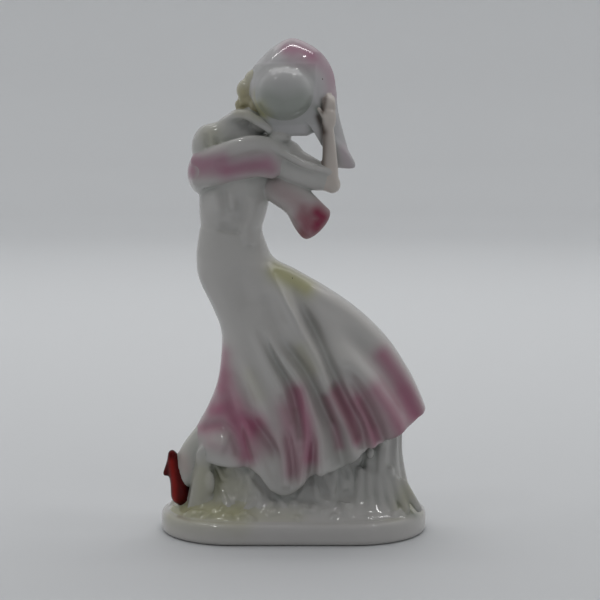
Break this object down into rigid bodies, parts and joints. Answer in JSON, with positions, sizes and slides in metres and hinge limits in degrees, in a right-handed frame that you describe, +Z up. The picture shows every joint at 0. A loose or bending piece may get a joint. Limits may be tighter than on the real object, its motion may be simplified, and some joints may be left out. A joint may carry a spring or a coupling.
{
  "type": "porcelain figurine",
  "caption": "Glazed porcelain figurine of a striding lady in a wind-blown gown, shawl and broad hat, on a low plinth with round ends, made to stand free on a shelf.",
  "frame": {"origin": "middle of the plinth's underside", "axes": "+Z up; +X along the plinth's length, the way the lady strides; +Y from her back towards her face"},
  "size_m": [0.109, 0.061, 0.2],
  "materials": {
    "white_glaze": "gloss",
    "rose_glaze": "gloss",
    "crimson_glaze": "gloss",
    "red_glaze": "gloss",
    "straw_glaze": "gloss",
    "skin_glaze": "gloss"
  },
  "bodies": {
    "root": {"hat_crown": "white_glaze", "hat_brim": "white_glaze", "nape_bow": "white_glaze", "left_sleeve": "white_glaze", "right_upper_arm": "white_glaze", "bodice": "white_glaze", "gown_skirt": "white_glaze", "ground": "white_glaze", "bank": "white_glaze", "stump": "white_glaze", "grass_tuft": "white_glaze", "plinth": "white_glaze", "shawl_back": "rose_glaze", "shawl_drape": "rose_glaze", "shawl_tail": "crimson_glaze", "left_shoe": "red_glaze", "left_heel": "red_glaze", "right_shoe": "red_glaze", "right_heel": "red_glaze", "hair": "straw_glaze", "head": "skin_glaze", "neck": "skin_glaze", "right_forearm": "skin_glaze", "right_hand": "skin_glaze", "left_forearm": "skin_glaze", "left_hand": "skin_glaze", "left_leg": "skin_glaze", "right_leg": "skin_glaze"}
  },
  "joints": []
}
